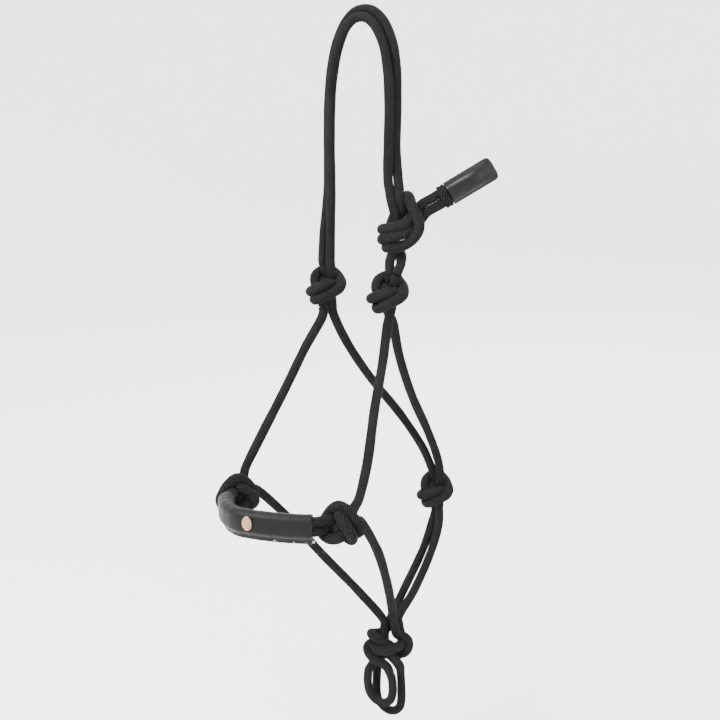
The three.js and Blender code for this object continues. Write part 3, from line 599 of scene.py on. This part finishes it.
def rope_data(points, radius=RADIUS, around=AROUND, seed=0, swell=0.1, pressed=0.0):
    """Verts, quads, uvs and end fans of a braided rope along points."""
    n = len(points)
    tangents, side, other = frames(points)
    turn = 2 * math.pi * np.arange(around) / around
    along = np.concatenate([[0], np.cumsum(np.linalg.norm(np.diff(points, axis=0), axis=1))])
    ring, column = np.meshgrid(np.arange(n), np.arange(around), indexing="ij")
    woven = np.where((ring + column) % 2 == 0, 0.2, -0.2) * radius / RADIUS
    soft = 0.07 * np.sin(along / 9.1 + seed) + 0.05 * np.sin(along / 4.3 + 2.1 * seed)
    oval = 0.09 * np.cos(2 * (turn[None] + along[:, None] / 31 + seed))
    fade = np.clip(np.minimum(along, along[-1] - along) / 8, 0, 1)[:, None]
    size = radius + swell + woven + fade * (pressed + soft[:, None] + oval)
    offset = np.cos(turn)[None, :, None] * side[:, None] + np.sin(turn)[None, :, None] * other[:, None]
    verts = (points[:, None] + size[:, :, None] * offset).reshape(-1, 3)
    quads, u, v = grid(n, around)
    around_mm = 2 * math.pi * radius
    uv = np.stack([u / around, v * BRAID_STEP / around_mm], axis=2)
    caps = np.vstack([points[0], points[-1]])
    tris, tri_uv = [], []
    for end, base in ((0, 0), (1, (n - 1) * around)):
        for j in range(around):
            pair = [base + j, base + (j + 1) % around]
            tris.append([len(verts) + end] + (pair[::-1] if end == 0 else pair))
            tri_uv.append([[0.5, 0.0], [j / around, 0.01], [(j + 1) / around, 0.01]])
    return np.vstack([verts, caps]), quads, uv, np.array(tris), np.array(tri_uv)


def merge(parts):
    """One mesh's data from several."""
    verts, quads, uvs, tris, tri_uvs, count = [], [], [], [], [], 0
    for v, q, u, t, tu in parts:
        verts.append(v)
        quads.append(q + count)
        uvs.append(u.reshape(-1, 2))
        tris.append(t + count)
        tri_uvs.append(tu.reshape(-1, 2))
        count += len(v)
    return (np.vstack(verts), np.vstack(quads), np.vstack(uvs + tri_uvs), np.vstack(tris))


def rope_piece(name, lines, seed=1.7, swell=0.1, pressed=0.0):
    """Stretches of the rope as one piece."""
    verts, quads, uvs, tris = merge(
        [rope_data(line, seed=seed * (k + 1), swell=swell, pressed=pressed)
         for k, line in enumerate(lines)])
    return make(name, verts, quads, uvs, ROPE_LOOK, "rope", tris)


def metres(v):
    return [float(x) / 1000 for x in v]


def free_cord(name, points, nodes, body=None, bend=None):
    """A stretch of rope between two knots, made as one rope piece."""
    line = spline(points, BRAID_STEP)
    piece = rope_piece(name, [line], seed=0.0)
    if bend:
        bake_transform(piece)
    else:
        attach(piece, body)
    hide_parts(*nodes)
    return piece


# ---------------------------------------------------------------- free stretches
def hang_between(start, stop, bends, lead=6.0):
    """A route from one knot's end to another's. Each bend is a share of the way and an offset."""
    a, b = start["place"], stop["place"]
    middle = [a + (b - a) * share + vec(x, y, z) for share, x, y, z in bends]
    return [a, a + start["dir"] * lead, *middle, b + stop["dir"] * lead, b]


FREE = [
    ("near_cheek_rope", near_cheek_knot["outs"][0], near_nose_knot["ins"][0],
     [(0.25, -1, 4, 0), (0.5, 0, 3, 0), (0.8, 1, 5, 0)]),
    ("near_throat_rope", near_cheek_knot["outs"][1], throat_knot["ins"][1],
     [(0.2, 3, -8, 0), (0.45, 1, -6, 0), (0.7, 0, 2, 0), (0.88, 0, 4, 0)]),
    ("far_cheek_rope", far_cheek_knot["outs"][0], far_nose_knot["ins"][0],
     [(0.25, 0, 2, 0), (0.5, 0, 1, 0), (0.8, 0, -2, 0)]),
    ("far_throat_rope", far_cheek_knot["outs"][1], throat_knot["ins"][0],
     [(0.18, 0, -9, 0), (0.38, 0, -7, 0), (0.65, 0, 4, 0), (0.86, 0, 6, 0)]),
    ("near_chin_rope", near_nose_knot["ins"][1], fiador_knot["ins"][1],
     [(0.25, 5, 6, 2), (0.5, 4, 7, 0), (0.8, -1, 6, 2)]),
    ("far_chin_rope", far_nose_knot["ins"][1], fiador_knot["ins"][0],
     [(0.25, -5, 8, 6), (0.5, -5, 6, 6), (0.8, -3, 6, 5)]),
    ("far_drop_rope", throat_knot["outs"][0], fiador_knot["ins"][2],
     [(0.2, -0.6, 12, 0), (0.42, -0.8, 15, 0), (0.75, -0.7, 7, 0)]),
    ("near_drop_rope", throat_knot["outs"][1], fiador_knot["ins"][3],
     [(0.2, 0.6, 12, 0), (0.42, 0.8, 15, 0), (0.75, 0.7, 7, 0)]),
]
for name, start, stop, bends in FREE:
    free_cord("soft_" + name, hang_between(start, stop, bends), [name], body="face")

crown_top = RADIUS + (PITCH / 2) * math.cos(TWIST)
CROWN_MIDDLE = [
    (-CROWN_HALF - 3, FOLD_Y, -CROWN_DROP), (-CROWN_HALF - 2.4, FOLD_Y, -CROWN_DROP + 22),
    (-CROWN_HALF, 0, -140), (-CROWN_HALF, 0, -100), (-CROWN_HALF, 1, -66),
    (-CROWN_HALF + 2, 2, -41), (-CROWN_HALF + 7, 3, -18.5), (-CROWN_HALF + 15.5, 3, -2.5),
    (-9.5, 3, crown_top - 2), (0, 3, crown_top), (9.5, 3, crown_top - 2),
    (CROWN_HALF - 15.5, 3, -2.5), (CROWN_HALF - 7, 3, -18.5), (CROWN_HALF - 2, 2, -41),
    (CROWN_HALF, 1, -66), (CROWN_HALF, 0, -100),
]


def smooth_step(share):
    share = np.clip(share, 0, 1)
    return share * share * (3 - 2 * share)


def crown_strand(side, foot, knot_end):
    """One of the two strands over the poll, beside the line that runs midway between them."""
    middle = spline(CROWN_MIDDLE, 1.6 * ROPE)
    tangents = np.gradient(middle, axis=0)
    tangents /= np.linalg.norm(tangents, axis=1)[:, None]
    along = np.linspace(0, 1, len(middle))
    turn = TWIST * smooth_step((along - 0.02) / 0.2) + NEAR_TWIST * smooth_step((along - 0.62) / 0.3)
    back = vec(0, 1, 0)
    outward = np.cross(tangents, back)
    outward /= np.linalg.norm(outward, axis=1)[:, None]
    offset = side * (PITCH / 2 + 0.1)
    rows = middle + offset * (outward * np.cos(turn)[:, None] + back * np.sin(turn)[:, None])
    stop = knot_end["place"]
    return [foot["place"], *rows, stop + knot_end["dir"] * 8, stop]


FOLD = (metres((0, FOLD_Y, -CROWN_DROP + 7)), metres((0, FOLD_Y, -CROWN_DROP - 5)))
crown_bend = ("crown", "face", *FOLD)
free_cord("soft_crown_inner", crown_strand(-1, far_cheek_knot["ins"][1], tie_knot["ins"][0]),
          ["crown_rope_inner"], bend=crown_bend)
free_cord("soft_crown_outer", crown_strand(1, far_cheek_knot["ins"][0], tie_knot["ins"][1]),
          ["crown_rope_outer"], bend=crown_bend)

loop_legs = []
for leg, cheek in ((tie_knot["ins"][2], near_cheek_knot["ins"][0]),
                   (tie_knot["outs"][2], near_cheek_knot["ins"][1])):
    loop_legs.append(spline([leg["place"] - leg["dir"] * 1.5, leg["place"],
                             leg["place"] + leg["dir"] * 1.5, cheek["place"]], BRAID_STEP))
tie_legs = rope_piece("soft_tie_loop_legs", loop_legs)
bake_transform(tie_legs)
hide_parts("tie_loop_leg_inner", "tie_loop_leg_outer")


# ---------------------------------------------------------------- lead loops
def lead_loop(row, long):
    left = leg_fold(-1, row)
    bend = LOOP_HALF + 1
    low = left[2] - long + RADIUS + bend
    leg = [left, vec(-bend, left[1], left[2] - 0.45 * (left[2] - low)), vec(-bend, left[1], low)]
    turns = [math.radians(a) for a in (-60, -30, 0, 30, 60)]
    middle = [vec(bend * math.sin(a), left[1], low - bend * math.cos(a)) for a in turns]
    other = [p * vec(-1, 1, 1) for p in leg[::-1]]
    feet = [[e["place"] for e in fiador_knot["outs"] if np.allclose(e["anchor"], p)][0]
            for p in (leg_fold(-1, row), leg_fold(1, row))]
    return [feet[0], *leg, *middle, *other, feet[1]]


for name, row, long, body in (("front_lead_loop", -1, FRONT_LOOP_LONG, "front_loop"),
                              ("rear_lead_loop", 1, REAR_LOOP_LONG, "rear_loop")):
    fold = leg_fold(1, row)
    bend = ("face", body, metres(fold + vec(0, 0, 5)), metres(fold - vec(0, 0, 6)))
    free_cord("soft_" + name, lead_loop(row, long), [name], bend=bend)


# ---------------------------------------------------------------- knots
def knot_piece(name, knot):
    lines = []
    for row in knot["rows"]:
        count = max(6, int(round(length_of(row) / (0.75 * ROPE))) + 1)
        lines.append(spline(spaced(row, count), BRAID_STEP))
    piece = rope_piece("soft_" + name, lines, swell=KNOT_SWELL, pressed=KNOT_PRESSED)
    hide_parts(name)
    return piece


for name, knot in (("near_cheek_knot", near_cheek_knot), ("far_cheek_knot", far_cheek_knot),
                   ("throat_knot", throat_knot), ("near_nose_knot", near_nose_knot),
                   ("far_nose_knot", far_nose_knot), ("fiador_knot", fiador_knot)):
    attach(knot_piece(name, knot), "face")
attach(knot_piece("tie_knot", tie_knot), "crown")


# ---------------------------------------------------------------- noseband
def nose_point(across, forward):
    return vec(across * NOSE_HALF, -NOSE_REACH - forward * NOSE_BULGE, -NOSE_DROP)


NOSE_MIDDLE = [
    near_nose + nose_line(1) * NOSE_START, nose_point(0.66, 0.575), nose_point(0.42, 0.745),
    nose_point(0.17, 0.88), nose_point(-0.04, 0.965), nose_point(-0.24, 1),
    nose_point(-0.44, 0.93), nose_point(-0.64, 0.77), nose_point(-0.77, 0.59),
    far_nose + nose_line(-1) * NOSE_START,
]
nose_lines = []
for level, pick in ((1, 0), (-1, 1)):
    row = [near_nose_knot["outs"][pick]["place"]]
    row += [p + UP * (level * PITCH / 2) for p in NOSE_MIDDLE]
    row += [far_nose_knot["outs"][pick]["place"]]
    nose_lines.append(spline(row, BRAID_STEP))
nose_ropes = rope_piece("soft_nose_ropes", nose_lines)
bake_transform(nose_ropes)
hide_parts("nose_rope_upper", "nose_rope_lower")

LEATHER_IN = RADIUS + 0.45
LEATHER_OUT = LEATHER_IN + 1.9
WELT = 4.2


def stadium(radius, half, count):
    """Points round a slot shape: first number up the stack, second across."""
    rows = []
    for i in range(count):
        a = 2 * math.pi * i / count
        up, out = math.cos(a), math.sin(a)
        rows.append((radius * up + half * np.clip(3 * up, -1, 1), radius * out))
    return np.array(rows)


def nose_section(grow):
    """The leather's outline: round both strands, with its two edges sewn together below."""
    rows = []
    count = 56
    for i in range(count):
        a = math.pi + 2 * math.pi * (i + 0.5) / count
        up, out = math.cos(a), math.sin(a)
        radius = LEATHER_OUT + grow
        y = radius * up + PITCH / 2 * np.clip(3 * up, -1, 1)
        x = radius * out * (1 - 0.035 * math.exp(-(up / 0.25) ** 2))
        below = max(0.0, -up - 0.86) / 0.14
        if below > 0:
            y -= WELT * below**0.5
            x = math.copysign(min(abs(x), 1.45 + grow + 0.9 * (1 - below)), x)
        rows.append((y, x))
    return np.array(rows)


def loft(rings, tail_uv=25.0):
    """Verts, quads and uvs of a closed skin through rings that start and end at the same place."""
    rows, columns = len(rings), len(rings[0])
    quads, u, v = grid(rows, columns)
    uv = np.stack([u / columns, v * 1.5 / tail_uv], axis=2)
    return np.vstack(rings), quads, uv


CURVE_STEP = 0.25
nose_curve = spline(NOSE_MIDDLE, CURVE_STEP)


def part_of(curve, first, last, count):
    rows = curve[int(first * len(curve)):int(last * len(curve))]
    return spaced(rows, count)


sleeve_line = part_of(nose_curve, SLEEVE_FROM, SLEEVE_TO, 92)
sleeve_tangent = np.gradient(sleeve_line, axis=0)
sleeve_tangent /= np.linalg.norm(sleeve_tangent, axis=1)[:, None]
sleeve_out = np.cross(UP, sleeve_tangent)
sleeve_out /= np.linalg.norm(sleeve_out, axis=1)[:, None]


def nose_ring(i, section, shift=0.0):
    centre = sleeve_line[i] + sleeve_tangent[i] * shift
    return centre + section[:, :1] * UP + section[:, 1:] * sleeve_out[i]


inner = stadium(LEATHER_IN, PITCH / 2, 56)[::-1]
start_of = nose_section(0)[0]
inner = np.roll(inner, -int(np.argmin(np.linalg.norm(inner - start_of, axis=1))), axis=0)
if np.linalg.norm(inner[3] - nose_section(0)[3]) > np.linalg.norm(inner[-3] - nose_section(0)[3]):
    inner = np.roll(inner[::-1], 1, axis=0)
rings = [nose_ring(0, inner, 0.3), nose_ring(0, nose_section(-0.6)),
         nose_ring(0, nose_section(-0.15), 0.5)]
for i in range(1, len(sleeve_line) - 1):
    wave = 0.10 * math.sin(i * 0.9) + 0.08 * math.sin(i * 0.37 + 1)
    rings.append(nose_ring(i, nose_section(wave * 0.7)))
rings += [nose_ring(-1, nose_section(-0.15), -0.5), nose_ring(-1, nose_section(-0.6)),
          nose_ring(-1, inner, -0.3)]
rings += [nose_ring(i, inner) for i in range(len(sleeve_line) - 2, 0, -1)]
rings.append(rings[0])
verts, quads, uvs = loft(rings)
sleeve = make("soft_nose_sleeve", verts, quads, uvs, NOSE_LOOK, "nose_leather")
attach(sleeve, "noseband")
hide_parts("nose_sleeve")


def stitches(name, places, mat, slot, long, radius=0.36):
    """Short lengths of thread, each dipping into the leather at its ends."""
    parts = []
    for k, (middle, along, out) in enumerate(places):
        t = np.linspace(-1, 1, 9)
        dip = out * (0.28 * radius - 1.3 * radius * t[:, None] ** 4)
        parts.append(rope_data(middle + along * (t[:, None] * long / 2) + dip, radius, 8, k, 0.0))
    verts, quads, uvs, tris = merge(parts)
    return make(name, verts, quads, uvs * 4, mat, slot, tris)


def seam_of_nose(first, last, face):
    """Places of stitches on one face of the sewn edge below the nose sleeve."""
    rows = []
    count = int((last - first) * len(nose_curve) * CURVE_STEP / NOSE_STITCH_APART)
    line = part_of(nose_curve, first, last, max(3, count))
    along = np.gradient(line, axis=0)
    along /= np.linalg.norm(along, axis=1)[:, None]
    for place, way in zip(line, along):
        out = unit(np.cross(UP, way)) * face
        low = PITCH / 2 + LEATHER_OUT + WELT * 0.52
        rows.append((place - UP * low + out * 1.5, unit(way + 0.12 * UP), out))
    return rows


for name, seam, look in (("nose_stitches_light", LIGHT_SEAM, LIGHT_THREAD),
                         ("nose_stitches_dark", DARK_SEAM, DARK_THREAD)):
    places = seam_of_nose(*seam, 1) + seam_of_nose(*seam, -1)
    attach(stitches(name, places, look, "nose_leather", NOSE_STITCH_LONG), "noseband")


# ---------------------------------------------------------------- badge
def plain_badge():
    """An oval plate with a rounded raised rim and a slightly crowned middle."""
    middle = int(BADGE_AT * len(nose_curve))
    place = nose_curve[middle]
    way = unit(nose_curve[middle + 2] - nose_curve[middle - 2])
    out = unit(np.cross(UP, way))
    right = np.cross(UP, out)
    centre = place + out * (LEATHER_OUT - 0.1) + UP
    profile = [(1.0, 0.0), (1.0, 0.9), (0.985, 1.2), (0.95, 1.38), (0.9, 1.42), (0.86, 1.3),
               (0.83, 1.05), (0.81, 0.8), (0.76, 0.74), (0.6, 0.82), (0.4, 0.95), (0.2, 1.02),
               (0.02, 1.04)]
    around = 48
    turn = 2 * math.pi * np.arange(around) / around
    rings = [centre + right * (4.5 * s * np.cos(turn))[:, None] + UP * (6.0 * s * np.sin(turn))[:, None]
             + out * h for s, h in profile]
    rings.append(np.repeat(centre[None] + out * 1.04, around, axis=0))
    rings.insert(0, np.repeat(centre[None] - out * 0.1, around, axis=0))
    verts, quads, uvs = loft(rings)
    return make("plain_badge", verts, quads, uvs, BADGE_LOOK, "badge_metal")


badge = plain_badge()
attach(badge, "noseband")
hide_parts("badge")

# ---------------------------------------------------------------- tail
tail_lines = []
for level, pick in ((-1, 0), (1, 1)):
    start = tie_knot["outs"][pick]["place"]
    rows = [tail_fold(level) + tail_dir * d for d in (0, 12, 26, 40, TAIL_LENGTH + 33)]
    tail_lines.append(spline([start, *rows], BRAID_STEP))
tail_ropes = rope_piece("soft_tail_ropes", tail_lines)
middle_fold = tail_fold(0)
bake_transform(tail_ropes)
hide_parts("tail_rope_lower", "tail_rope_upper")
tail_side = np.cross(tail_dir, tail_stack)


def tail_ring(section, from_fold):
    return middle_fold + tail_dir * from_fold + section[:, :1] * tail_stack + section[:, 1:] * tail_side


COLLAR = [(RADIUS + 0.5, 0.2), (RADIUS + 1.2, 0.0), (RADIUS + 1.85, 0.5), (RADIUS + 2.1, 1.6),
          (RADIUS + 1.85, 2.7), (RADIUS + 1.55, 3.3), (RADIUS + 1.5, 3.5), (RADIUS + 1.85, 4.1),
          (RADIUS + 2.1, 5.3), (RADIUS + 1.85, 6.4), (RADIUS + 1.2, 6.9), (RADIUS + 0.5, 6.7)]
rings = [tail_ring(stadium(r, PITCH / 2, 64), TAIL_LENGTH + d) for r, d in COLLAR]
rings.append(rings[0])
verts, quads, uvs = loft(rings)
collar = make("soft_tail_collar", verts, quads, uvs * [2.1, 0.7], ROPE_LOOK, "rope")
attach(collar, "tail")
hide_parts("tail_collar")

TAIL_HALF = 10.4  # half the sleeve's width, from one sewn edge to the other
TAIL_AROUND = 72
TAIL_RINGS = 60


def tail_section(fullness, width):
    """Two layers of leather round the rope ends, sewn flat together along both edges."""
    rows = []
    for i in range(TAIL_AROUND):
        a = 2 * math.pi * i / TAIL_AROUND
        up = width * math.copysign(abs(math.cos(a)) ** 0.8, math.cos(a))
        flat = abs(up) / TAIL_HALF
        full = 1.25 + (fullness - 1.25) * max(0.0, 1 - (flat / 0.86) ** 2.6)
        edge = min(1.0, (width - abs(up) + 0.05) / 0.9) ** 0.5
        out = math.copysign(full * edge, math.sin(a)) if abs(math.sin(a)) > 1e-6 else 0.0
        rows.append((up, out))
    return np.array(rows)


sleeve_from = TAIL_LENGTH + COLLAR_LONG + 0.3
rings = [tail_ring(tail_section(4.6, 8.6), sleeve_from + 0.5),
         tail_ring(tail_section(5.4, TAIL_HALF - 0.5), sleeve_from),
         tail_ring(tail_section(5.9, TAIL_HALF), sleeve_from + 0.6)]
for i in range(1, TAIL_RINGS):
    d = TAIL_SLEEVE_LONG * i / TAIL_RINGS
    full = 6.1 - 0.25 * math.sin(d / 4.5) * (d < 34) - 3.9 * max(0.0, (d - 26) / 18) ** 1.4
    corner = max(0.0, (d - 39.5) / 4.5)
    half = TAIL_HALF - 4.2 * (1 - math.sqrt(1 - min(0.998, corner) ** 2))
    rings.append(tail_ring(tail_section(full, half), sleeve_from + d))
rings.append(tail_ring(tail_section(1.5, TAIL_HALF - 4.9), sleeve_from + TAIL_SLEEVE_LONG))
end = np.repeat((middle_fold + tail_dir * (sleeve_from + 44.1))[None], TAIL_AROUND, axis=0)
start = np.repeat((middle_fold + tail_dir * (sleeve_from + 1.2))[None], TAIL_AROUND, axis=0)
verts, quads, uvs = loft([start, *rings, end])
tail_sleeve = make("soft_tail_sleeve", verts, quads, uvs, TAIL_LOOK, "tail_leather")
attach(tail_sleeve, "tail")
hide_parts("tail_sleeve")

places = []
for edge in (-1, 1):
    for face in (-1, 1):
        for d in np.arange(3.0, 40.5, 3.4):
            place = middle_fold + tail_dir * (sleeve_from + d) + tail_stack * (edge * (TAIL_HALF - 1.0))
            places.append((place + tail_side * (face * 1.25), tail_dir, tail_side * face))
tail_thread = stitches("tail_stitches", places, DARK_THREAD, "tail_leather", 2.3, 0.3)
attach(tail_thread, "tail")


# ---------------------------------------------------------------- floor and lights
def studio():
    """A round white floor that turns up into a wall on every side."""
    profile = [(0.01, -0.72), (1.5, -0.72), (3.0, -0.72)]
    profile += [(3.0 + 1.5 * math.sin(a), 0.78 - 1.5 * math.cos(a))
                for a in np.linspace(0.1, math.pi / 2, 12)]
    profile += [(4.5, 1.6), (4.5, 2.6)]
    turn = 2 * math.pi * np.arange(96) / 96
    rings = [np.stack([1000 * r * np.cos(turn), 1000 * r * np.sin(turn), np.full(96, 1000 * z)], axis=1)
             for r, z in profile]
    verts, quads, uvs = loft(rings)
    mat = material("studio_white", 0.9, (0.86, 0.86, 0.86))
    n = Nodes(mat)
    n.shade(Roughness=n.math("ADD", 0.85, n.math("MULTIPLY", n.noise(3.0).outputs["Fac"], 0.1)))
    obj = make("studio", verts, quads, uvs, mat, "rope")
    del obj["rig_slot"]


studio()
world = bpy.data.worlds.new("studio_light")
world.use_nodes = True
world.node_tree.nodes["Background"].inputs["Color"].default_value = (1, 1, 1, 1)
world.node_tree.nodes["Background"].inputs["Strength"].default_value = 3.6
bpy.context.scene.world = world


def softbox(name, place, target, size, power):
    data = bpy.data.lights.new(name, "AREA")
    data.shape = "DISK"
    data.size = size
    data.energy = power
    lamp = bpy.data.objects.new(name, data)
    bpy.context.scene.collection.objects.link(lamp)
    aim(lamp, place, target)


softbox("key_light", (-0.5, -1.9, 1.5), (0, 0, -0.3), 0.8, 170)
softbox("fill_light", (2.3, -0.9, 0.5), (0, 0, -0.3), 1.6, 25)
softbox("back_light", (-0.6, 2.2, 1.3), (0, 0, -0.3), 1.5, 60)
